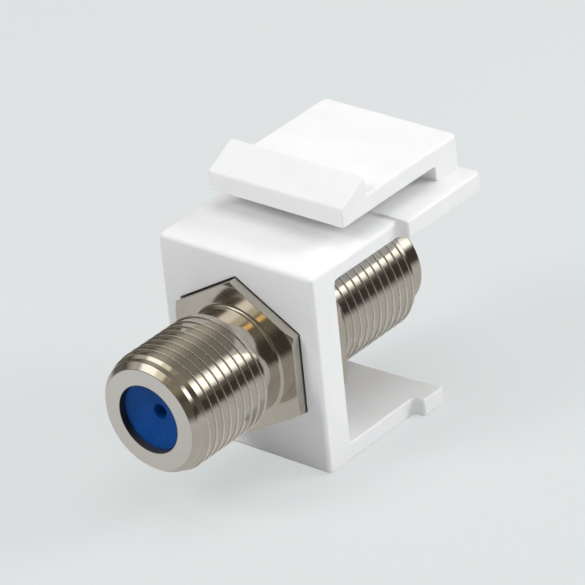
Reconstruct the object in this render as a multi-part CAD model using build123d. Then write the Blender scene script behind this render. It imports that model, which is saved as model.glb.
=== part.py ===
from build123d import *
import math
import os

# A snap-in panel insert: a white moulded housing that holds a double-ended threaded coaxial coupler.
# Sizes are in millimetres. X runs across the front face, Y from the front to the back, Z up.
# Pieces are built about the coupler's axis, with y = 0 at the housing's front face, and placed at the end.

# Housing
face_width = 14.5
face_height = 16.37
plate_thickness = 2.57
top_wall = 1.33
bottom_wall = 1.44
top_depth = 19.14
bottom_depth = 12.66
bottom_hollow = 0.49
pad_rise = 0.2
ear_start = 10.15
ear_reach = 0.95
edge_round = 0.35
foot_round = 0.15
top_corner_round = 0.45
bottom_corner_round = 0.35

# Latch: a spring arm that grows forwards out of a post at the rear of the top wall
latch_width = 12.6
latch_gap = 1.24
arm_thickness = 1.42
post_length = 2.94
post_corner_round = 0.6
hook_start = 5.16
hook_length = 2.92
hook_nose_height = 1.55
hook_height = 3.02
hook_edge_round = 0.12

# Coupler body
nose_reach = 10.81
rear_reach = 16.65
thread_radius = 4.7625
pitch_radius = 4.5
nose_radius = 4.46
nose_chamfer = 0.45
nose_length = 0.86
tail_radius = 3.85
tail_length = 2.15
tail_chamfer = 0.2
neck_radius = 4.25
neck_length = 1.75
neck_fillet = 0.3
flange_across_flats = 11.11
flange_proud = 0.8
flange_seated = 1.05
flange_corner_cut = 0.1
port_radius = 2.69
port_depth = 0.6
chamber_radius = 3.35

# Rear nut
nut_across_flats = 11.11
nut_thickness = 2.6
nut_corner_cut = 0.12

# Insulators and the contact that they hold
insulator_wall = 1.95
wire_hole_radius = 0.575
dish_radius = 2.6
dish_floor_radius = 1.5
dish_floor_depth = 0.5
dish_depth = 0.7
contact_radius = 1.2
contact_mouth_radius = 0.4
contact_mouth_length = 1.6
contact_bore_radius = 0.75
contact_bore_depth = 8.0
slot_width = 0.35
slot_depth = 5.0

# Clearances
pocket_clearance = 0.05
hole_clearance = 0.05
nut_clearance = 0.02
nut_face_gap = 0.03
insulator_clearance = 0.02
contact_clearance = 0.05
contact_end_gap = 0.1

# Places that follow from the sizes above
top_surface = face_height / 2
bottom_surface = -face_height / 2
pad_surface = top_surface + pad_rise
arm_underside = pad_surface + latch_gap
arm_top = arm_underside + arm_thickness
post_start = top_depth - post_length
hook_peak = hook_start + hook_length
nut_start = plate_thickness
nut_end = nut_start + nut_thickness
flange_face = -flange_proud
chamber_start = port_depth - nose_reach
chamber_end = rear_reach - port_depth
chamber_middle = (chamber_start + chamber_end) / 2

# How close two places must be to count as the same one
near = 1e-4

# The frame's origin is the middle of the bottom of the whole part's box
face_y = (nose_reach - top_depth) / 2
axis_z = face_height / 2


def block(width, y_low, y_high, z_low, z_high):
    """A box centred on x = 0 between two y planes and two z planes."""
    solid = Box(width, y_high - y_low, z_high - z_low, align=(Align.CENTER, Align.MIN, Align.MIN))
    return Pos(0, y_low, z_low) * solid


def turned(points):
    """A solid turned about the coupler's axis from (radius, y) points."""
    outline = make_face(Polyline(*points, close=True))
    return revolve(outline, Axis.Y)


def rod(radius, y_low, y_high):
    """A plain cylinder on the coupler's axis between two y planes."""
    return turned([(0, y_low), (radius, y_low), (radius, y_high), (0, y_high)])


def hexagon(across_flats, y_low, y_high):
    """A hexagonal prism on the coupler's axis, with flats facing +X and -X."""
    outline = RegularPolygon(across_flats / 2, 6, major_radius=False, rotation=30)
    return extrude(Plane.XZ.offset(-y_low) * outline, -(y_high - y_low))


def corner_cone(across_flats, y_low, y_high, cut_low, cut_high):
    """The turned envelope that takes the corners off a hexagon at either end."""
    corner = across_flats / math.sqrt(3)
    points = [
        (0, y_low),
        (corner - 2 * cut_low, y_low),
        (corner, y_low + cut_low),
        (corner, y_high - cut_high),
        (corner - 2 * cut_high, y_high),
        (0, y_high),
    ]
    return turned([p for i, p in enumerate(points) if i == 0 or p != points[i - 1]])


def edges_along(solid, axis, test):
    """The straight edges of a solid that run along an axis and pass a test on their middle point."""
    return [e for e in solid.edges().filter_by(axis) if test(e @ 0.5)]


def housing_plates():
    """The front plate with the top and bottom walls behind it, and their ears."""
    ear_width = face_width + 2 * ear_reach
    front = block(face_width, 0, plate_thickness, bottom_surface, top_surface)
    top = block(face_width, 0, top_depth, top_surface - top_wall, top_surface)
    pad = block(ear_width, ear_start, top_depth, top_surface - top_wall, pad_surface)
    bottom = block(face_width, 0, bottom_depth, bottom_surface, bottom_surface + bottom_wall)
    ears = block(ear_width, ear_start, bottom_depth, bottom_surface, bottom_surface + bottom_wall)
    half_width = ear_width / 2
    bow_radius = (half_width**2 + bottom_hollow**2) / (2 * bottom_hollow)
    bow_centre = bottom_depth - bottom_hollow + bow_radius
    bow = Pos(0, bow_centre, bottom_surface) * Cylinder(bow_radius, 2 * bottom_wall)
    return front + top + pad + (bottom + ears - bow)


def rounded_plates():
    """The plates with their moulded corner and edge rounds."""
    plates = housing_plates()
    side = face_width / 2
    top_corners = edges_along(plates, Axis.Z, lambda m: abs(m.Y - top_depth) < near)
    plates = fillet(top_corners, top_corner_round)
    bottom_corners = edges_along(plates, Axis.Z, lambda m: abs(m.Y - bottom_depth) < near)
    plates = fillet(bottom_corners, bottom_corner_round)
    foot_edges = edges_along(
        plates,
        Axis.Y,
        lambda m: abs(abs(m.X) - side) < near and abs(m.Z - bottom_surface) < near and m.Y < ear_start,
    )
    plates = fillet(foot_edges, foot_round)
    shoulder_edges = edges_along(
        plates,
        Axis.Y,
        lambda m: abs(abs(m.X) - side) < near and abs(m.Z - top_surface) < near and m.Y < ear_start,
    )
    face_edges = [e for e in plates.edges() if abs((e @ 0).Y) < near and abs((e @ 1).Y) < near]
    return fillet(face_edges + shoulder_edges, edge_round)


def latch_post():
    """The post that carries the latch arm, flush with the rear of the top wall."""
    post = block(latch_width, post_start, top_depth, top_surface, arm_top)
    corners = edges_along(post, Axis.Z, lambda m: abs(m.Y - top_depth) < near)
    return fillet(corners, post_corner_round)


def housing():
    pocket_flats = flange_across_flats + 2 * pocket_clearance
    pocket = hexagon(pocket_flats, -edge_round, flange_seated)
    hole = rod(pitch_radius + hole_clearance, 0, nut_end)
    return rounded_plates() + latch_post() - pocket - hole


def latch_arm():
    """The arm with the wedge-shaped hook at its free end."""
    outline = make_face(
        Polyline(
            (hook_start, arm_underside),
            (hook_start, arm_underside + hook_nose_height),
            (hook_peak, arm_underside + hook_height),
            (hook_peak, arm_top),
            (post_start, arm_top),
            (post_start, arm_underside),
            close=True,
        )
    )
    side = Plane.YZ.offset(-latch_width / 2) * outline
    arm = extrude(side, latch_width)
    ridge = edges_along(arm, Axis.X, lambda m: abs(m.Z - arm_underside - hook_height) < near)
    nose = edges_along(arm, Axis.X, lambda m: abs(m.Y - hook_start) < near)
    return fillet(ridge + nose, hook_edge_round)


def nose_outline():
    """Outline points of the plain chamfered nose at the front, with the start of the thread behind it."""
    lead = thread_radius - nose_radius
    return [
        (port_radius, -nose_reach),
        (nose_radius - nose_chamfer, -nose_reach),
        (nose_radius, nose_chamfer - nose_reach),
        (nose_radius, nose_length - nose_reach),
        (thread_radius, nose_length + lead - nose_reach),
    ]


def tail_outline():
    """Outline points of the end of the rear thread and the plain narrower tail behind it."""
    thread_end = rear_reach - tail_length
    lead = thread_radius - tail_radius
    return [
        (thread_radius, thread_end),
        (tail_radius, thread_end + lead),
        (tail_radius, rear_reach - tail_chamfer),
        (tail_radius - tail_chamfer, rear_reach),
        (port_radius, rear_reach),
    ]


def coupler_body():
    """The turned barrel with its thread lands, neck, hexagonal flange and stepped bore."""
    neck_start = flange_face - neck_length
    free_thread = nut_end + nut_face_gap
    runout = thread_radius - neck_radius
    outline = nose_outline()
    outline += [(thread_radius, neck_start - runout), (neck_radius, neck_start)]
    outline += [(neck_radius, flange_face), (pitch_radius, flange_face)]
    outline += [(pitch_radius, free_thread), (thread_radius, free_thread)]
    outline += tail_outline()
    outline += [(port_radius, chamber_end), (chamber_radius, chamber_end)]
    outline += [(chamber_radius, chamber_start), (port_radius, chamber_start)]
    barrel = turned(outline)
    flange = hexagon(flange_across_flats, flange_face, flange_seated)
    flange = flange & corner_cone(flange_across_flats, flange_face, flange_seated, flange_corner_cut, 0)
    body = barrel + (flange - rod(pitch_radius, flange_face, flange_seated))
    neck_corner = [
        e
        for e in body.edges().filter_by(GeomType.CIRCLE)
        if abs(e.radius - neck_radius) < near and abs(e.arc_center.Y - flange_face) < near
    ]
    return fillet(neck_corner, neck_fillet)


def rear_nut():
    """The hexagonal nut that clamps the plate against the flange."""
    nut = hexagon(nut_across_flats, nut_start, nut_end)
    nut = nut & corner_cone(nut_across_flats, nut_start, nut_end, nut_corner_cut, nut_corner_cut)
    return nut - rod(pitch_radius + nut_clearance, nut_start, nut_end)


def front_insulator():
    """One of two plastic sleeves: a dished end wall with the wire hole, and a bore for the contact.

    The dish is steeper near its rim than on its floor, which leads the wire into the hole.
    """
    outer = chamber_radius - insulator_clearance
    inner = contact_radius + contact_clearance
    wall_end = chamber_start + insulator_wall
    return turned(
        [
            (wire_hole_radius, chamber_start + dish_depth),
            (dish_floor_radius, chamber_start + dish_floor_depth),
            (dish_radius, chamber_start),
            (outer, chamber_start),
            (outer, chamber_middle),
            (inner, chamber_middle),
            (inner, wall_end),
            (wire_hole_radius, wall_end),
        ]
    )


def rear_insulator():
    """The same sleeve turned end for end."""
    return mirror(front_insulator(), Plane.XZ.offset(-chamber_middle))


def socket_cut(end, side):
    """The bore and the crossed slots that leave four spring tines at one end of the contact.

    The bore is narrow at the mouth, where the closed tines grip the wire, and wider behind it.
    """
    throat = end - side * contact_mouth_length
    mouth = rod(contact_mouth_radius, *sorted((end, throat)))
    bore = rod(contact_bore_radius, *sorted((throat, end - side * contact_bore_depth)))
    low, high = sorted((end, end - side * slot_depth))
    span = 4 * contact_radius
    upright = block(slot_width, low, high, -span / 2, span / 2)
    level = block(span, low, high, -slot_width / 2, slot_width / 2)
    return mouth + bore + upright + level


def centre_contact():
    """The double-ended slotted socket that joins the two centre wires."""
    start = chamber_start + insulator_wall + contact_end_gap
    end = chamber_end - insulator_wall - contact_end_gap
    return rod(contact_radius, start, end) - socket_cut(start, -1) - socket_cut(end, 1)


pieces = {
    "housing": housing,
    "latch_arm": latch_arm,
    "coupler_body": coupler_body,
    "rear_nut": rear_nut,
    "front_insulator": front_insulator,
    "rear_insulator": rear_insulator,
    "centre_contact": centre_contact,
}

os.makedirs("parts", exist_ok=True)
for name, make in pieces.items():
    placed = Pos(0, face_y, axis_z) * make()
    export_step(placed, f"parts/{name}.step")
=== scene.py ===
import math

import bmesh
import bpy
from mathutils import Matrix, Vector


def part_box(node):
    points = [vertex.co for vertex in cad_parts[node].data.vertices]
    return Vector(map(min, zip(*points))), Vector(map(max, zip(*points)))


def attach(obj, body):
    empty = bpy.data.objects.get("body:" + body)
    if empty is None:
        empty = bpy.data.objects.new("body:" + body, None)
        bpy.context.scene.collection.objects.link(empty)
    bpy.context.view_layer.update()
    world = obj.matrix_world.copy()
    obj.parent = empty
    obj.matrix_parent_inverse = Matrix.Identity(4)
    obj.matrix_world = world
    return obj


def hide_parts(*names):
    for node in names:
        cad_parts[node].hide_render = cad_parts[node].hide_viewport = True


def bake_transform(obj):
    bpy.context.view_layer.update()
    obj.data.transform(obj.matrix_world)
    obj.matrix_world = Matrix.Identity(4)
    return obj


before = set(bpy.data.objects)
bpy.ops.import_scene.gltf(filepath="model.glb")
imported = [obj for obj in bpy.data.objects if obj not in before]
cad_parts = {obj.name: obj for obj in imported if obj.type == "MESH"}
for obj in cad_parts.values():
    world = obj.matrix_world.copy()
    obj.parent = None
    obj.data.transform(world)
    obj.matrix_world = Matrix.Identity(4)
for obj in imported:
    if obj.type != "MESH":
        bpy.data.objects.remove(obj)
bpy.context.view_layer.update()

# Shapes are built in millimetres about the coupler's axis, with y = 0 at the moulding's front face,
# and are then brought to metres and to their place in the frame.
MM = 0.001
face_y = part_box("housing")[0].y
barrel_low, barrel_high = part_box("coupler_body")
axis_z = (barrel_low.z + barrel_high.z) / 2
PLACE = Matrix.Translation((0, face_y, axis_z)) @ Matrix.Scale(MM, 4)

# Moulding
FACE_WIDTH, FACE_HEIGHT = 14.5, 16.37
PLATE, TOP_WALL, BOTTOM_WALL = 2.57, 1.33, 1.44
TOP_DEPTH, BOTTOM_DEPTH, BOTTOM_BOW = 19.14, 12.66, 0.49
EAR_START, EAR_REACH, PAD_RISE = 10.15, 0.95, 0.2
TOP, BOTTOM, SIDE = FACE_HEIGHT / 2, -FACE_HEIGHT / 2, FACE_WIDTH / 2
HALF_WIDTH = SIDE + EAR_REACH

# Latch
LATCH_WIDTH, LATCH_GAP, ARM_THICKNESS, POST_LENGTH = 12.6, 1.24, 1.42, 2.94
HOOK_START, HOOK_LENGTH, HOOK_NOSE, HOOK_RISE = 5.16, 2.92, 1.55, 3.0
ARM_UNDERSIDE = TOP + PAD_RISE + LATCH_GAP
ARM_TOP = ARM_UNDERSIDE + ARM_THICKNESS
POST_START = TOP_DEPTH - POST_LENGTH
POST_SUNK = 0.6

# Coupler
NOSE_REACH, REAR_REACH = 10.81, 16.65
CREST, ROOT, PITCH = 4.7625, 4.66, 25.4 / 32
RIDGE_TOP = 0.013
RIDGE_SLOPES = ((28, 0.1), (52, 0.2), (70, 0.4), (45, 0.18), (20, 0.12))
NOSE_RADIUS, NOSE_CHAMFER, NOSE_LENGTH = 4.46, 0.45, 0.86
TAIL_RADIUS, TAIL_LENGTH, TAIL_CHAMFER = 3.85, 2.15, 0.2
NECK_RADIUS, NECK_LENGTH, NECK_FILLET = 4.25, 1.75, 0.3
FLATS, FLANGE_PROUD, FLANGE_SEATED, FLANGE_CORNER = 11.11, 0.8, 1.05, 0.16
PORT_RADIUS, LIP, CHAMBER_RADIUS = 2.69, 0.6, 3.35
NUT_THICKNESS = 2.6
POCKET_GAP, POCKET_ROUND = 0.08, 0.06
CORE_RADIUS, SHANK_RADIUS = 4.2, 4.5
FLANGE_ROUND, RIM_ROUND, CHAMFER_ROUND = 0.04, 0.05, 0.06
NUT_CUT, NUT_FACE_CUT, NUT_MOUTH = 0.35, 1.2, 0.35

# How far shapes that are joined reach into each other
FLANGE_HOLD, THREAD_HOLD, NUT_HOLD, NUT_OVERLAP = 0.2, 0.3, 0.4, 0.1
THREAD_PROUD, THREAD_SUNK = 0.01, 0.03

# Insulators
INSULATOR_RADIUS, INSULATOR_WALL, CONTACT_ROOM = 3.33, 1.95, 1.25
DISH_RADIUS, DISH_FLOOR, WIRE_HOLE = 2.6, 1.5, 0.575
DISH_FLOOR_DEPTH, DISH_DEPTH = 0.5, 0.7
CHAMBER_START, CHAMBER_END = LIP - NOSE_REACH, REAR_REACH - LIP
CHAMBER_MIDDLE = (CHAMBER_START + CHAMBER_END) / 2

# Steps of a full turn, and how close two places or corners must be to count as one
TURN_STEPS = 96
NEAR, SLIVER, MERGED = 1e-3, 4e-4, 1e-5


# Shapes


def as_object(name, bm):
    """Makes an object of a mesh in work, with its doubles merged and its faces turned outwards."""
    bmesh.ops.remove_doubles(bm, verts=bm.verts, dist=MERGED)
    bmesh.ops.recalc_face_normals(bm, faces=bm.faces)
    mesh = bpy.data.meshes.new(name)
    bm.to_mesh(mesh)
    bm.free()
    made = bpy.data.objects.new(name, mesh)
    bpy.context.scene.collection.objects.link(made)
    return made


def apply_steps(made):
    """Replaces an object's mesh with what its modifiers make of it."""
    shaped = made.evaluated_get(bpy.context.evaluated_depsgraph_get())
    mesh = bpy.data.meshes.new_from_object(shaped)
    made.modifiers.clear()
    made.data = mesh


def combine(base, tool, operation):
    """Adds, cuts or keeps the common part of two closed shapes, and leaves the result in the first."""
    step = base.modifiers.new("combine", "BOOLEAN")
    step.operation, step.solver, step.object = operation, "EXACT", tool
    apply_steps(base)
    bpy.data.objects.remove(tool)
    bm = bmesh.new()
    bm.from_mesh(base.data)
    bmesh.ops.remove_doubles(bm, verts=bm.verts, dist=SLIVER)
    bmesh.ops.dissolve_degenerate(bm, edges=bm.edges, dist=SLIVER)
    bm.to_mesh(base.data)
    bm.free()


def block(width, y_low, y_high, z_low, z_high):
    bm = bmesh.new()
    size = Matrix.Diagonal((width, y_high - y_low, z_high - z_low, 1))
    middle = Matrix.Translation((0, (y_low + y_high) / 2, (z_low + z_high) / 2))
    bmesh.ops.create_cube(bm, size=1, matrix=middle @ size)
    return bm


def drawn_out(faces, bm, shift):
    """Extrudes faces and moves the new ones. Faces of a closed shape don't stay behind inside it."""
    closed = all(len(e.link_faces) == 2 for f in faces for e in f.edges)
    made = bmesh.ops.extrude_face_region(bm, geom=faces)["geom"]
    bmesh.ops.translate(bm, vec=shift, verts=[g for g in made if isinstance(g, bmesh.types.BMVert)])
    if closed:
        bmesh.ops.delete(bm, geom=faces, context="FACES")


def faces_where(bm, test):
    return [f for f in bm.faces if test(f.normal, f.calc_center_median())]


def split(bm, place, normal, geometry=None):
    geometry = geometry or bm.verts[:] + bm.edges[:] + bm.faces[:]
    bmesh.ops.bisect_plane(bm, geom=geometry, plane_co=place, plane_no=normal, dist=MERGED)


def turned(points):
    """A closed shape turned about the Y axis from (radius, y) corners."""
    bm = bmesh.new()
    verts = [bm.verts.new((radius, y, 0)) for radius, y in points]
    edges = [bm.edges.new(pair) for pair in zip(verts, verts[1:] + verts[:1])]
    bmesh.ops.spin(
        bm,
        geom=verts + edges,
        cent=(0, 0, 0),
        axis=(0, 1, 0),
        angle=math.tau,
        steps=TURN_STEPS,
        use_merge=True,
    )
    bmesh.ops.remove_doubles(bm, verts=bm.verts, dist=MERGED)
    bmesh.ops.dissolve_degenerate(bm, edges=bm.edges, dist=MERGED)
    on_axis = [e for e in bm.edges if not e.link_faces]
    bmesh.ops.delete(bm, geom=on_axis, context="EDGES")
    return bm


def round_edges(bm, edges, width, segments):
    """Rounds edges of a mesh in work."""
    bmesh.ops.bevel(
        bm,
        geom=edges,
        offset=width,
        segments=segments,
        profile=0.5,
        affect="EDGES",
        material=-1,
        clamp_overlap=True,
    )


def round_ring(bm, radius, y, width, segments=3):
    """Rounds the circular edges that lie at a radius and a y."""

    def on_ring(vert):
        return abs(math.hypot(vert.co.x, vert.co.z) - radius) < NEAR and abs(vert.co.y - y) < NEAR

    round_edges(bm, [e for e in bm.edges if all(on_ring(v) for v in e.verts)], width, segments)


def hexagon(flats, y_low, y_high):
    """A hexagonal prism with flats facing +X and -X."""
    bm = bmesh.new()
    lie_down = Matrix.Translation((0, y_low, 0)) @ Matrix.Rotation(math.radians(-90), 4, "X")
    bmesh.ops.create_circle(bm, cap_ends=True, segments=6, radius=flats / math.sqrt(3), matrix=lie_down)
    drawn_out(bm.faces[:], bm, (0, y_high - y_low, 0))
    corner = max(bm.verts, key=lambda v: v.co.z).co
    turn = math.atan2(corner.x, corner.z)
    bmesh.ops.rotate(bm, cent=(0, 0, 0), matrix=Matrix.Rotation(-turn, 3, "Y"), verts=bm.verts)
    return bm


def threaded_rod(y_low, y_high):
    """A closed rod with a right-handed thread: a thin rounded ridge with a wide smooth valley."""
    first = y_low - 2 * PITCH
    middle = PITCH / 2
    rise = [(CREST, RIDGE_TOP)]
    for slope, share in RIDGE_SLOPES:
        radius, away = rise[-1]
        drop = (CREST - ROOT) * share
        rise.append((radius - drop, away + drop / math.tan(math.radians(slope))))
    shape = [(ROOT, 0)]
    shape += [(radius, middle - away) for radius, away in reversed(rise)]
    shape += [(radius, middle + away) for radius, away in rise]
    shape += [(ROOT, PITCH)]
    turns = math.ceil((y_high - y_low) / PITCH) + 4
    bm = bmesh.new()
    verts = [bm.verts.new((radius, first + y, 0)) for radius, y in shape]
    edges = [bm.edges.new(pair) for pair in zip(verts, verts[1:])]
    bmesh.ops.spin(
        bm,
        geom=verts + edges,
        cent=(0, 0, 0),
        axis=(0, 1, 0),
        dvec=(0, PITCH / TURN_STEPS, 0),
        angle=math.tau * turns,
        steps=TURN_STEPS * turns,
    )
    bmesh.ops.remove_doubles(bm, verts=bm.verts, dist=1e-4)
    for rim, y in loops_by_end(bm, first, first + (turns + 1) * PITCH):
        made = bmesh.ops.extrude_edge_only(bm, edges=rim)["geom"]
        tip = [g for g in made if isinstance(g, bmesh.types.BMVert)]
        bmesh.ops.pointmerge(bm, verts=tip, merge_co=(0, y, 0))
    return bm


def loops_by_end(bm, y_start, y_end):
    """The open edges at either end of a threaded rod, with the y of the point that closes them."""
    middle = (y_start + y_end) / 2
    rims = [e for e in bm.edges if e.is_boundary]
    low = [e for e in rims if e.verts[0].co.y < middle]
    high = [e for e in rims if e.verts[0].co.y > middle]
    return (low, y_start - PITCH), (high, y_end + PITCH)


def thread(name, corners, y_low, y_high):
    """A thread cut on a blank that has the given (radius, y) corners."""
    made = as_object(name, threaded_rod(y_low, y_high))
    combine(made, as_object("blank", turned(corners)), "INTERSECT")
    return made


def finished(made, finish, sharp_angle=32):
    """Smooths what isn't an edge, then brings a shape to its place, in metres, with its finish.

    The wide flat faces set the shading next to their rounded edges. That is worked out in millimetres,
    because the step that does it takes faces as small as these in metres for equal.
    """
    made.data.shade_smooth()
    made.data.set_sharp_from_angle(angle=math.radians(sharp_angle))
    step = made.modifiers.new("even_normals", "WEIGHTED_NORMAL")
    step.keep_sharp, step.weight, step.thresh = True, 75, NEAR
    apply_steps(made)
    made.data.transform(PLACE)
    made.data.materials.clear()
    made.data.materials.append(finish)


# Finishes


class Value:
    """A shader socket. Arithmetic on it adds Math nodes."""

    def __init__(self, finish, socket):
        self.finish, self.socket = finish, socket

    def step(self, operation, *terms):
        return self.finish.add("ShaderNodeMath", {"operation": operation}, dict(enumerate(terms)))

    def __add__(self, other):
        return self.step("ADD", self, other)

    def __sub__(self, other):
        return self.step("SUBTRACT", self, other)

    def __mul__(self, other):
        return self.step("MULTIPLY", self, other)

    def __radd__(self, other):
        return self.step("ADD", other, self)

    def __rsub__(self, other):
        return self.step("SUBTRACT", other, self)

    def between(self, low, high):
        """0 below low, 1 above high, and a straight slope from one to the other."""
        return self.finish.add(
            "ShaderNodeMapRange", {"clamp": True}, {"Value": self, "From Min": low, "From Max": high}
        )


class Finish:
    """A procedural material, or the world, with its node tree."""

    def __init__(self, owner):
        owner.use_nodes = True
        self.owner, self.tree = owner, owner.node_tree
        self.tree.nodes.clear()

    def add(self, kind, settings=None, sockets=None, output=0):
        """Adds a node, first with its settings and then with the values or links of its sockets."""
        made = self.tree.nodes.new(kind)
        for name, value in (settings or {}).items():
            setattr(made, name, value)
        for name, value in (sockets or {}).items():
            socket = made.inputs[name]
            if isinstance(value, Value):
                self.tree.links.new(value.socket, socket)
            else:
                socket.default_value = value
        return Value(self, made.outputs[output]) if len(made.outputs) else None

    def place(self):
        """Millimetres across, along and up from the middle of the moulding's front face."""
        seen = self.add("ShaderNodeTexCoord", output="Object")
        moved = self.add("ShaderNodeVectorMath", {"operation": "SUBTRACT"}, {0: seen, 1: (0, face_y, axis_z)})
        return self.add("ShaderNodeVectorMath", {"operation": "SCALE"}, {0: moved, "Scale": 1 / MM})

    def parts(self, vector):
        made = self.tree.nodes.new("ShaderNodeSeparateXYZ")
        self.tree.links.new(vector.socket, made.inputs[0])
        return [Value(self, output) for output in made.outputs]

    def vector(self, x, y, z):
        return self.add("ShaderNodeCombineXYZ", {}, {0: x, 1: y, 2: z})

    def noise(self, vector, scale, detail=2.0, roughness=0.5):
        return self.add(
            "ShaderNodeTexNoise",
            {},
            {"Vector": vector, "Scale": scale, "Detail": detail, "Roughness": roughness},
        )

    def mix(self, share, first, second):
        """One colour turning into another."""
        made = self.tree.nodes.new("ShaderNodeMix")
        made.data_type = "RGBA"
        for index, value in ((0, share), (6, first), (7, second)):
            if isinstance(value, Value):
                self.tree.links.new(value.socket, made.inputs[index])
            else:
                made.inputs[index].default_value = value if index == 0 else (*value, 1)
        return Value(self, made.outputs[2])

    def bump(self, height, strength, distance):
        return self.add("ShaderNodeBump", {}, {"Height": height, "Strength": strength, "Distance": distance})

    def surface(self, **sockets):
        """The shader itself, on the material's output."""
        named = {name.replace("_", " "): value for name, value in sockets.items()}
        shader = self.add("ShaderNodeBsdfPrincipled", {}, named)
        self.add("ShaderNodeOutputMaterial", {}, {"Surface": shader})
        return self.owner


def nickel_finish():
    finish = Finish(bpy.data.materials.new("bright_nickel_plate"))
    place = finish.place()
    x, y, z = finish.parts(place)
    squares = x * x + z * z
    radius = squares.step("SQRT", squares)
    profile = radius + y
    lathe = finish.noise(finish.vector(profile, radius * 0.2, 0), 9.0, 3.0, 0.6)
    cloud = finish.noise(place, 0.55, 2.0)
    speck = finish.noise(place, 7.0, 3.0, 0.7)
    threaded = y.step("ABSOLUTE", y - 1.3).between(3.85, 3.9)
    crest = radius.between(4.72, 4.755) * threaded
    middle, half_length = (REAR_REACH - NOSE_REACH) / 2, (REAR_REACH + NOSE_REACH) / 2
    from_middle = y.step("ABSOLUTE", y - middle)
    port = 1 - radius.between(2.72, 2.76)
    above_root = radius.between(ROOT + 0.02, ROOT + 0.06)
    root = radius.between(ROOT - 0.03, ROOT - 0.01) * (1 - above_root) * threaded
    plain = finish.mix(cloud.between(0.3, 0.7), (0.56, 0.525, 0.465), (0.62, 0.59, 0.535))
    # Patches of the thread roots are darker.
    darker_root_patches = finish.mix(root * speck.between(0.4, 0.7) * 0.3, plain, (0.42, 0.39, 0.34))
    # The thread crests are paler: partly wear, partly a painted highlight that makes them read as bright
    # lines.
    crest_wear_and_highlight = finish.mix(crest, darker_root_patches, (0.92, 0.905, 0.875))
    end_face = from_middle.between(half_length - 0.055, half_length - 0.015)
    faced = finish.mix(end_face, crest_wear_and_highlight, (0.73, 0.71, 0.675))
    # Painted shade: the bore's wall is coloured near black, darkest towards the bottom, and is made only half
    # metallic.
    painted_bore_shade = finish.mix(z.between(-2.6, -1.4), (0.1, 0.09, 0.075), (0.028, 0.028, 0.03))
    tone = finish.mix(port, faced, painted_bore_shade)
    rough = 0.1 + cloud.between(0.3, 0.7) * 0.03 + speck.between(0.45, 0.75) * 0.03 + end_face * 0.14
    height = lathe * 0.6 + speck * 0.4
    return finish.surface(
        Base_Color=tone,
        Metallic=1 - port * 0.5,
        Roughness=rough + crest * 0.2 + port * 0.3,
        Normal=finish.bump(height, 0.04, 0.00002),
    )


def white_finish():
    finish = Finish(bpy.data.materials.new("satin_white_plastic"))
    place = finish.place()
    cloud = finish.noise(place, 0.35, 2.0)
    grain = finish.noise(place, 14.0, 3.0, 0.6)
    pit = finish.noise(place, 3.1, 2.0, 0.5)
    tone = finish.mix(cloud.between(0.3, 0.7), (0.875, 0.875, 0.88), (0.905, 0.905, 0.905))
    tone = finish.mix(pit.between(0.66, 0.8) * 0.25, tone, (0.78, 0.77, 0.77))
    return finish.surface(
        Base_Color=tone,
        Roughness=0.42 + cloud.between(0.3, 0.7) * 0.08 + grain * 0.05,
        Subsurface_Weight=0.12,
        Subsurface_Scale=0.0006,
        Normal=finish.bump(grain * 0.5 + cloud, 0.1, 0.00003),
    )


def blue_finish():
    finish = Finish(bpy.data.materials.new("blue_insulator_plastic"))
    place = finish.place()
    cloud = finish.noise(place, 0.9, 2.0)
    grain = finish.noise(place, 9.0, 3.0, 0.65)
    tone = finish.mix(cloud.between(0.3, 0.7), (0.0015, 0.05, 0.23), (0.002, 0.065, 0.29))
    tone = finish.mix(grain.between(0.42, 0.62), tone, (0.003, 0.08, 0.34))
    return finish.surface(
        Base_Color=tone,
        Roughness=0.5 + grain * 0.12,
        Specular_IOR_Level=0.2,
        Normal=finish.bump(grain, 0.15, 0.00002),
    )


def bronze_finish():
    finish = Finish(bpy.data.materials.new("spring_bronze"))
    place = finish.place()
    cloud = finish.noise(place, 1.2, 2.0)
    grain = finish.noise(place, 12.0, 2.0)
    tone = finish.mix(cloud.between(0.3, 0.7), (0.62, 0.42, 0.2), (0.74, 0.54, 0.29))
    return finish.surface(
        Base_Color=tone,
        Metallic=1.0,
        Roughness=0.28 + grain * 0.1,
        Normal=finish.bump(grain, 0.1, 0.00002),
    )


# The moulding


def weigh_edges(bm, rules):
    """Gives each edge the width of the first rule that it meets, and returns the widest."""
    widths = bm.edges.layers.float.new("bevel_weight_edge")
    widest = max(width for _, width in rules)
    for edge in bm.edges:
        if len(edge.link_faces) == 2 and edge.calc_face_angle() > math.radians(10):
            middle = (edge.verts[0].co + edge.verts[1].co) / 2
            along = (edge.verts[1].co - edge.verts[0].co).normalized()
            for test, width in rules:
                if test(middle, along):
                    edge[widths] = width / widest
                    break
    return widest


def rounded(name, bm, rules):
    """An object whose edges are rounded as the rules say."""
    bmesh.ops.remove_doubles(bm, verts=bm.verts, dist=MERGED)
    bmesh.ops.recalc_face_normals(bm, faces=bm.faces)
    widest = weigh_edges(bm, rules)
    made = as_object(name, bm)
    step = made.modifiers.new("edges", "BEVEL")
    step.limit_method, step.width, step.segments = "WEIGHT", widest, 4
    step.offset_type, step.miter_inner, step.use_clamp_overlap = "OFFSET", "MITER_ARC", True
    apply_steps(made)
    return made


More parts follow.
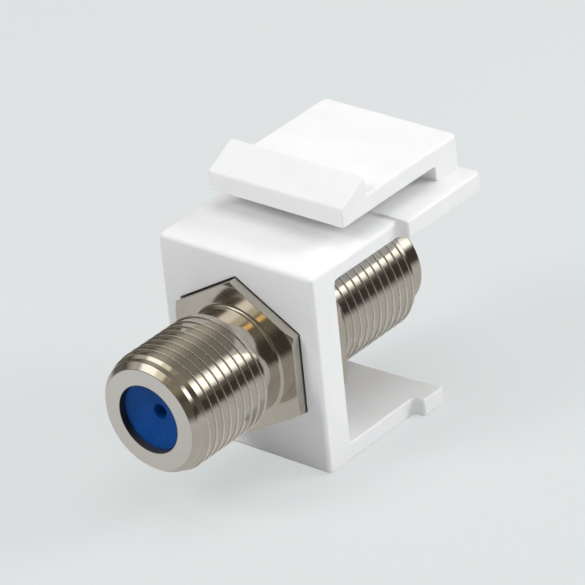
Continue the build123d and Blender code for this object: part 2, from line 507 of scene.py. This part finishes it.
def moulding_plates():
    """The front plate, the top and bottom walls drawn back out of it, their ears and the raised pad."""
    bm = block(FACE_WIDTH, 0, PLATE, BOTTOM, TOP)
    split(bm, (0, 0, TOP - TOP_WALL), (0, 0, 1))
    split(bm, (0, 0, BOTTOM + BOTTOM_WALL), (0, 0, 1))
    top = faces_where(bm, lambda n, c: n.y > 0.9 and c.z > TOP - TOP_WALL)
    drawn_out(top, bm, (0, TOP_DEPTH - PLATE, 0))
    bottom = faces_where(bm, lambda n, c: n.y > 0.9 and c.z < BOTTOM + BOTTOM_WALL)
    drawn_out(bottom, bm, (0, BOTTOM_DEPTH - PLATE, 0))
    split(bm, (0, EAR_START, 0), (0, 1, 0))
    for side in (-1, 1):
        bm.normal_update()
        ears = faces_where(bm, lambda n, c: n.x * side > 0.9 and c.y > EAR_START)
        drawn_out(ears, bm, (side * EAR_REACH, 0, 0))
    bm.normal_update()
    pad = faces_where(bm, lambda n, c: n.z > 0.9 and c.y > EAR_START and c.z > 0)
    drawn_out(pad, bm, (0, 0, PAD_RISE))
    bm.normal_update()
    behind = [e for e in bm.edges if all(v.co.y > EAR_START - NEAR for v in e.verts)]
    level = [e for e in behind if all(abs(v.co.z - TOP) < NEAR for v in e.verts)]
    flat = [e for e in level if len(e.link_faces) == 2 and e.calc_face_angle() < NEAR]
    bmesh.ops.dissolve_edges(bm, edges=flat, use_verts=True)
    for share in (-0.75, -0.5, -0.25, 0, 0.25, 0.5, 0.75):
        rear = faces_where(bm, lambda n, c: c.y > EAR_START - 1 and c.z < 0)
        around = dict.fromkeys(g for f in rear for g in (f, *f.edges, *f.verts))
        split(bm, (share * HALF_WIDTH, 0, 0), (1, 0, 0), list(around))
    for vert in bm.verts:
        if vert.co.z < 0 and abs(vert.co.y - BOTTOM_DEPTH) < NEAR:
            vert.co.y -= BOTTOM_BOW * (1 - (vert.co.x / HALF_WIDTH) ** 2)
    return bm


def round_pocket(made):
    """Rounds the mouth of the hexagonal pocket a little, as moulding leaves it."""
    reach = FLATS / math.sqrt(3) + 3 * POCKET_GAP
    bm = bmesh.new()
    bm.from_mesh(made.data)
    near_pocket = [e for e in bm.edges if all(math.hypot(v.co.x, v.co.z) < reach for v in e.verts)]
    mouth = [e for e in near_pocket if all(abs(v.co.y) < NEAR for v in e.verts)]
    sharp = [e for e in mouth if len(e.link_faces) == 2 and e.calc_face_angle() > 1]
    round_edges(bm, sharp, POCKET_ROUND, 3)
    bm.to_mesh(made.data)
    bm.free()


def housing_moulding(finish):
    def is_rear(m):
        return m.y > (TOP_DEPTH if m.z > 0 else BOTTOM_DEPTH - BOTTOM_BOW) - NEAR

    def outer_x(m):
        return abs(m.x) > HALF_WIDTH - NEAR

    rules = [
        (lambda m, a: is_rear(m) and abs(a.z) > 0.9 and m.z > 0, 0.45),
        (lambda m, a: is_rear(m) and abs(a.z) > 0.9 and outer_x(m), 0.35),
        (lambda m, a: is_rear(m) and abs(a.z) > 0.9, 0),
        (lambda m, a: m.y < NEAR, 0.35),
        (lambda m, a: is_rear(m), 0.2),
        (lambda m, a: abs(a.z) > 0.9 and abs(m.y - EAR_START) < NEAR and outer_x(m), 0.22),
        (lambda m, a: abs(a.z) > 0.9 and abs(m.y - EAR_START) < NEAR, 0.4),
        (lambda m, a: abs(m.y - EAR_START) < NEAR, 0.09),
        (lambda m, a: abs(m.y - PLATE) < NEAR and abs(a.x) > 0.9, 0.35),
        (lambda m, a: abs(m.y - PLATE) < NEAR, 0.1),
        (lambda m, a: m.z > TOP - NEAR and m.y > EAR_START, 0.22),
        (lambda m, a: m.z > TOP - NEAR, 0.35),
        (lambda m, a: True, 0.15),
    ]
    made = rounded("housing_moulding", moulding_plates(), rules)
    pocket = as_object("pocket", hexagon(FLATS + 2 * POCKET_GAP, -1, FLANGE_SEATED))
    combine(made, pocket, "DIFFERENCE")
    round_pocket(made)
    hole = as_object("hole", turned([(0, -1), (SHANK_RADIUS + 0.05, -1), (SHANK_RADIUS + 0.05, 4), (0, 4)]))
    combine(made, hole, "DIFFERENCE")
    finished(made, finish)
    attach(made, "insert")
    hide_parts("housing")


def latch_moulding(finish):
    """The post, the arm and its hook in one moulding, cut across a few times where the arm leaves the post,
    where the real latch bends.
    """
    bm = bmesh.new()
    corners = [
        (HOOK_START, ARM_UNDERSIDE),
        (HOOK_START, ARM_UNDERSIDE + HOOK_NOSE),
        (HOOK_START + HOOK_LENGTH, ARM_UNDERSIDE + HOOK_RISE),
        (HOOK_START + HOOK_LENGTH, ARM_TOP),
        (TOP_DEPTH, ARM_TOP),
        (TOP_DEPTH, TOP - POST_SUNK),
        (POST_START, TOP - POST_SUNK),
        (POST_START, ARM_UNDERSIDE),
    ]
    side = bm.faces.new([bm.verts.new((-LATCH_WIDTH / 2, y, z)) for y, z in corners])
    drawn_out([side], bm, (LATCH_WIDTH, 0, 0))
    for step in range(1, 6):
        split(bm, (0, POST_START - 2 + step * 0.5, 0), (0, 1, 0))

    def at(m, y, z):
        return abs(m.y - y) < NEAR and abs(m.z - z) < NEAR

    rules = [
        (lambda m, a: m.z < TOP - POST_SUNK + NEAR, 0),
        (lambda m, a: abs(a.z) > 0.9 and m.y > TOP_DEPTH - NEAR, 0.6),
        (lambda m, a: at(m, TOP_DEPTH, ARM_TOP), 0.3),
        (lambda m, a: at(m, POST_START, ARM_UNDERSIDE), 0.35),
        (lambda m, a: at(m, HOOK_START + HOOK_LENGTH, ARM_TOP), 0.06),
        (lambda m, a: at(m, HOOK_START + HOOK_LENGTH, ARM_UNDERSIDE + HOOK_RISE), 0.16),
        (lambda m, a: abs(a.x) > 0.9, 0.14),
        (lambda m, a: m.z > ARM_TOP - NEAR and m.y > HOOK_START + HOOK_LENGTH, 0.25),
        (lambda m, a: True, 0.13),
    ]
    made = rounded("latch_moulding", bm, rules)
    finished(made, finish)
    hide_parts("latch_arm")
    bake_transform(made)


# The coupler


def hexagonal_flange():
    """The flange, with the points of its front corners cut off and its front edge just broken."""
    corner = FLATS / math.sqrt(3)
    made = as_object("flange", hexagon(FLATS, -FLANGE_PROUD, FLANGE_SEATED))
    envelope = turned(
        [
            (0, -FLANGE_PROUD),
            (corner - 2.2 * FLANGE_CORNER, -FLANGE_PROUD),
            (corner, FLANGE_CORNER - FLANGE_PROUD),
            (corner + 1, FLANGE_CORNER - FLANGE_PROUD),
            (corner + 1, FLANGE_SEATED + 1),
            (0, FLANGE_SEATED + 1),
        ]
    )
    combine(made, as_object("envelope", envelope), "INTERSECT")
    bm = bmesh.new()
    bm.from_mesh(made.data)
    front = [e for e in bm.edges if all(v.co.y < FLANGE_CORNER - FLANGE_PROUD + NEAR for v in e.verts)]
    rim = [e for e in front if len(e.link_faces) == 2 and e.calc_face_angle() > math.radians(20)]
    round_edges(bm, rim, FLANGE_ROUND, 2)
    bm.to_mesh(made.data)
    bm.free()
    return made


def coupler(finish):
    neck_start = -FLANGE_PROUD - NECK_LENGTH
    nut_end = PLATE + NUT_THICKNESS
    front_thread_y, rear_thread_y = NOSE_LENGTH - NOSE_REACH, REAR_REACH - TAIL_LENGTH
    core = turned(
        [
            (0, -NOSE_REACH),
            (NOSE_RADIUS - NOSE_CHAMFER, -NOSE_REACH),
            (NOSE_RADIUS, NOSE_CHAMFER - NOSE_REACH),
            (NOSE_RADIUS, front_thread_y),
            (CORE_RADIUS, front_thread_y),
            (CORE_RADIUS, neck_start - FLANGE_HOLD),
            (NECK_RADIUS, neck_start - FLANGE_HOLD),
            (NECK_RADIUS, -FLANGE_PROUD),
            (NECK_RADIUS + 1, -FLANGE_PROUD),
            (NECK_RADIUS + 1, FLANGE_SEATED - FLANGE_HOLD),
            (SHANK_RADIUS, FLANGE_SEATED - FLANGE_HOLD),
            (SHANK_RADIUS, nut_end - NUT_HOLD),
            (CORE_RADIUS, nut_end - NUT_HOLD),
            (CORE_RADIUS, rear_thread_y - THREAD_HOLD),
            (TAIL_RADIUS, rear_thread_y - THREAD_HOLD),
            (TAIL_RADIUS, REAR_REACH - TAIL_CHAMFER),
            (TAIL_RADIUS - TAIL_CHAMFER, REAR_REACH),
            (0, REAR_REACH),
        ]
    )
    round_ring(core, NECK_RADIUS, -FLANGE_PROUD, NECK_FILLET, 5)
    round_ring(core, NOSE_RADIUS - NOSE_CHAMFER, -NOSE_REACH, RIM_ROUND, 2)
    round_ring(core, NOSE_RADIUS, NOSE_CHAMFER - NOSE_REACH, CHAMFER_ROUND, 2)
    round_ring(core, TAIL_RADIUS - TAIL_CHAMFER, REAR_REACH, RIM_ROUND, 2)
    round_ring(core, TAIL_RADIUS, REAR_REACH - TAIL_CHAMFER, CHAMFER_ROUND, 2)
    made = as_object("coupler", core)
    combine(made, hexagonal_flange(), "UNION")
    outer, runout = CREST + THREAD_PROUD, CREST - NECK_RADIUS
    nose_start, tail_start = NOSE_RADIUS - THREAD_SUNK, TAIL_RADIUS - THREAD_SUNK
    front_blank = [
        (0, front_thread_y - THREAD_HOLD),
        (nose_start, front_thread_y - THREAD_HOLD),
        (nose_start, front_thread_y),
        (outer, front_thread_y + outer - nose_start),
        (outer, neck_start - runout),
        (NECK_RADIUS - THREAD_PROUD, neck_start),
        (0, neck_start),
    ]
    combine(made, thread("front_thread", front_blank, -NOSE_REACH, neck_start), "UNION")
    rear_blank = [
        (0, nut_end - NUT_OVERLAP),
        (outer, nut_end - NUT_OVERLAP),
        (outer, rear_thread_y),
        (tail_start, rear_thread_y + outer - tail_start),
        (0, rear_thread_y + outer - tail_start),
    ]
    combine(made, thread("rear_thread", rear_blank, nut_end, REAR_REACH), "UNION")
    bore = turned(
        [
            (0, -NOSE_REACH - 1),
            (PORT_RADIUS, -NOSE_REACH - 1),
            (PORT_RADIUS, CHAMBER_START),
            (CHAMBER_RADIUS, CHAMBER_START),
            (CHAMBER_RADIUS, CHAMBER_END),
            (PORT_RADIUS, CHAMBER_END),
            (PORT_RADIUS, REAR_REACH + 1),
            (0, REAR_REACH + 1),
        ]
    )
    combine(made, as_object("bore", bore), "DIFFERENCE")
    finished(made, finish)
    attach(made, "insert")
    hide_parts("coupler_body")


def lock_nut(finish):
    start, end = PLATE, PLATE + NUT_THICKNESS
    corner, cut = FLATS / math.sqrt(3), NUT_CUT
    made = as_object("lock_nut", hexagon(FLATS, start, end))
    cone = turned(
        [
            (0, start),
            (corner - NUT_FACE_CUT, start),
            (corner, start + cut),
            (corner, end - cut),
            (corner - NUT_FACE_CUT, end),
            (0, end),
        ]
    )
    combine(made, as_object("cone", cone), "INTERSECT")
    mouth = SHANK_RADIUS + NUT_MOUTH
    inner = SHANK_RADIUS + 0.02
    hole = turned(
        [
            (0, start - 1),
            (mouth + 1, start - 1),
            (inner, start + mouth - inner),
            (inner, end - mouth + inner),
            (mouth + 1, end + 1),
            (0, end + 1),
        ]
    )
    combine(made, as_object("hole", hole), "DIFFERENCE")
    finished(made, finish)
    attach(made, "insert")
    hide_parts("rear_nut")


def insulator(name, end, side, finish, node):
    """A plastic sleeve with a dished end, at the front (side -1) or at the rear (side 1)."""
    outer = INSULATOR_RADIUS
    points = [
        (WIRE_HOLE, end - side * DISH_DEPTH),
        (DISH_FLOOR, end - side * DISH_FLOOR_DEPTH),
        (DISH_RADIUS, end),
        (outer, end),
        (outer, CHAMBER_MIDDLE),
        (CONTACT_ROOM, CHAMBER_MIDDLE),
        (CONTACT_ROOM, end - side * INSULATOR_WALL),
        (WIRE_HOLE, end - side * INSULATOR_WALL),
    ]
    bm = turned(points)
    bmesh.ops.recalc_face_normals(bm, faces=bm.faces)
    round_ring(bm, WIRE_HOLE, end - side * DISH_DEPTH, 0.12, 4)
    round_ring(bm, DISH_FLOOR, end - side * DISH_FLOOR_DEPTH, 0.6, 6)
    round_ring(bm, DISH_RADIUS, end, 0.1, 3)
    made = as_object(name, bm)
    finished(made, finish, 50)
    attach(made, "insert")
    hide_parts(node)


# The studio

BACKDROP = (0.737, 0.767, 0.767)
FLOOR_GLOW, FLOOR_RADIUS, FLOOR_FADE = 0.7, 0.9, (45, 160)
ROOM_RADIUS = 1.2
TABLE_RADIUS, TABLE_EDGE = 0.045, 0.019
LAMP_AIM = 0.01
SENSOR_WIDTH, PHOTO_WIDTH = 36, 585

# Soft boxes and lit walls of the room: where they lie, the half angles in degrees at which they are
# full and gone, and their glow
ROOM_PATCHES = (
    ((-0.45, 0.65, 0.6), 6, 18, (0.5, 0.465, 0.4)),
    ((-0.78, -0.36, 0.5), 4, 14, (0.6, 0.57, 0.52)),
    ((0.7, -0.65, 0.25), 12, 24, (0.1, 0.088, 0.075)),
    ((0.36, -0.72, 0.6), 5, 12, (0.32, 0.28, 0.2)),
    ((-0.42, -0.55, 0.7), 12, 17, (1.7, 1.65, 1.55)),
    ((-0.14, -0.65, 0.745), 5, 9, (1.05, 0.98, 0.8)),
    ((0.13, -0.65, 0.75), 3, 4.5, (2.2, 1.45, 0.6)),
    ((0.6, 0.62, 0.49), 4, 12, (2.3, 2.25, 2.1)),
)


def seen_directly(finish):
    """1 for what the camera, a mirror image or a clear body shows, and 0 for light on a matt surface."""
    rays = finish.tree.nodes.new("ShaderNodeLightPath")
    seen = Value(finish, rays.outputs["Is Camera Ray"])
    for name in ("Is Glossy Ray", "Is Transmission Ray"):
        seen = seen.step("MAXIMUM", seen, Value(finish, rays.outputs[name]))
    return seen


def studio_world():
    """A soft even light, with the backdrop's colour where the camera or a reflection looks past the floor."""
    world = bpy.data.worlds.new("studio")
    bpy.context.scene.world = world
    finish = Finish(world)
    tone = finish.mix(seen_directly(finish), (0.15, 0.15, 0.155), BACKDROP)
    shader = finish.add("ShaderNodeBackground", {}, {"Color": tone, "Strength": 1.0})
    finish.add("ShaderNodeOutputWorld", {}, {"Surface": shader})


def studio_floor():
    """A pale floor that takes the object's soft shadow near it and is one with the backdrop further off."""
    bm = bmesh.new()
    bmesh.ops.create_circle(bm, cap_ends=True, segments=96, radius=FLOOR_RADIUS)
    floor = as_object("floor", bm)
    finish = Finish(bpy.data.materials.new("pale_floor"))
    place = finish.place()
    x, y, _ = finish.parts(place)
    squares = x * x + y * y
    far = squares.step("SQRT", squares)
    cloud = finish.noise(place, 0.02, 2.0)
    tone = finish.mix(cloud, (0.68, 0.71, 0.71), (0.7, 0.73, 0.73))
    near_shader = finish.add("ShaderNodeBsdfDiffuse", {}, {"Color": tone})
    far_shader = finish.add("ShaderNodeEmission", {}, {"Color": (*BACKDROP, 1), "Strength": 1.0})
    glow = seen_directly(finish) * FLOOR_GLOW
    share = glow.step("MAXIMUM", glow, far.between(*FLOOR_FADE))
    both = finish.add("ShaderNodeMixShader", {}, {0: share, 1: near_shader, 2: far_shader})
    finish.add("ShaderNodeOutputMaterial", {}, {"Surface": both})
    floor.data.materials.append(finish.owner)


def soft_box(name, direction, distance, width, height, power):
    """A rectangular lamp that faces the object."""
    lamp = bpy.data.lights.new(name, "AREA")
    lamp.shape, lamp.size, lamp.size_y = "RECTANGLE", width, height
    lamp.energy = power
    made = bpy.data.objects.new(name, lamp)
    toward = Vector(direction).normalized()
    made.location = Vector((0, 0, LAMP_AIM)) + toward * distance
    made.rotation_euler = toward.to_track_quat("Z", "Y").to_euler()
    made.visible_camera = made.visible_glossy = False
    bpy.context.scene.collection.objects.link(made)


def seen_in_reflections(made, finish, tone):
    """Gives an object a glow that only mirror images show."""
    shader = finish.add("ShaderNodeEmission", {}, {"Color": tone, "Strength": 1.0})
    finish.add("ShaderNodeOutputMaterial", {}, {"Surface": shader})
    made.data.materials.append(finish.owner)
    made.visible_camera = made.visible_diffuse = made.visible_shadow = False


def soft_square(finish, toward, direction, inner, outer):
    """1 inside a square patch of the room that faces the object, and 0 outside it."""
    middle = Vector(direction).normalized()
    across = middle.cross(Vector((0, 0, 1))).normalized()
    sides = [
        finish.add("ShaderNodeVectorMath", {"operation": "DOT_PRODUCT"}, {0: toward, 1: axis}, 1)
        for axis in (across, across.cross(middle), middle)
    ]
    level, upright, ahead = sides
    off = level.step("MAXIMUM", level.step("ABSOLUTE", level), upright.step("ABSOLUTE", upright))
    inner_off, outer_off = math.sin(math.radians(inner)), math.sin(math.radians(outer))
    return (1 - off.between(inner_off, outer_off)) * ahead.step("GREATER_THAN", ahead, 0.0)


def studio_room():
    """The dim room round the table with its soft boxes, as the metal mirrors it."""
    bm = bmesh.new()
    bmesh.ops.create_icosphere(bm, subdivisions=5, radius=ROOM_RADIUS)
    room = as_object("studio_room", bm)
    finish = Finish(bpy.data.materials.new("studio_room"))
    seen = finish.add("ShaderNodeTexCoord", output="Object")
    toward = finish.add("ShaderNodeVectorMath", {"operation": "NORMALIZE"}, {0: seen})
    _, _, up = finish.parts(toward)
    tone = finish.mix(up.between(0.05, 0.75), (0.09, 0.075, 0.06), (0.26, 0.24, 0.21))
    for direction, inner, outer, colour in ROOM_PATCHES:
        tone = finish.mix(soft_square(finish, toward, direction, inner, outer), tone, colour)
    seen_in_reflections(room, finish, tone)


def mirrored_table():
    """The table top with its dark edge, low and close round the object, as the metal mirrors it."""
    bm = bmesh.new()
    lift = Matrix.Translation((0, 0, TABLE_EDGE / 2))
    bmesh.ops.create_cone(
        bm,
        cap_ends=False,
        segments=64,
        radius1=TABLE_RADIUS,
        radius2=TABLE_RADIUS,
        depth=TABLE_EDGE,
        matrix=lift,
    )
    top = Matrix.Translation((0, 0, 0.0001))
    bmesh.ops.create_circle(bm, cap_ends=True, segments=64, radius=TABLE_RADIUS, matrix=top)
    table = as_object("mirrored_table", bm)
    finish = Finish(bpy.data.materials.new("mirrored_table"))
    x, y, z = finish.parts(finish.place())
    dark = finish.mix((x * 0.8 + y * 0.6).between(-20, 30), (0.17, 0.155, 0.13), (0.06, 0.05, 0.04))
    pale = finish.mix((x * 0.3 + y).between(-30, -18), (0.67, 0.67, 0.67), (0.59, 0.58, 0.56))
    seen_in_reflections(table, finish, finish.mix(z.between(-8, -1), pale, dark))


def studio_camera():
    """The photograph's viewpoint. The focal length is in pixels of the photograph."""
    round_right, raised, rolled = math.radians(41.67), math.radians(28.82), math.radians(-5.92)
    distance, focal, aim_right, aim_up = 0.3311, 4524.0, 0.003579, 0.004504
    back = Vector(
        (
            math.sin(round_right) * math.cos(raised),
            -math.cos(round_right) * math.cos(raised),
            math.sin(raised),
        )
    )
    level = Vector((math.cos(round_right), math.sin(round_right), 0))
    right = Matrix.Rotation(rolled, 3, back) @ level
    up = back.cross(right)
    lens = bpy.data.cameras.new("camera")
    lens.sensor_width = SENSOR_WIDTH
    lens.lens = SENSOR_WIDTH * focal / PHOTO_WIDTH
    lens.clip_start, lens.clip_end = 0.01, 10
    camera = bpy.data.objects.new("camera", lens)
    spot = right * aim_right + up * aim_up + back * distance + Vector((0, face_y, axis_z))
    camera.matrix_world = Matrix.Translation(spot) @ Matrix((right, up, back)).transposed().to_4x4()
    bpy.context.scene.collection.objects.link(camera)
    bpy.context.scene.camera = camera


white, nickel, blue = white_finish(), nickel_finish(), blue_finish()
housing_moulding(white)
latch_moulding(white)
coupler(nickel)
lock_nut(nickel)
insulator("front_sleeve", CHAMBER_START, -1, blue, "front_insulator")
insulator("rear_sleeve", CHAMBER_END, 1, blue, "rear_insulator")
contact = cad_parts["centre_contact"]
contact.data.materials.clear()
contact.data.materials.append(bronze_finish())

studio_camera()
studio_world()
studio_floor()
studio_room()
mirrored_table()
soft_box("top_box", (0.05, 0.1, 1), 0.4, 0.3, 0.3, 0.74)
soft_box("right_rear_box", (0.6, 0.62, 0.5), 0.4, 0.16, 0.16, 0.83)
soft_box("front_left_box", (-0.45, -0.6, 0.7), 0.45, 0.15, 0.15, 0.85)
soft_box("right_box", (0.8, -0.5, 0.3), 0.4, 0.25, 0.2, 0.28)
bpy.context.scene.view_settings.view_transform = "Standard"
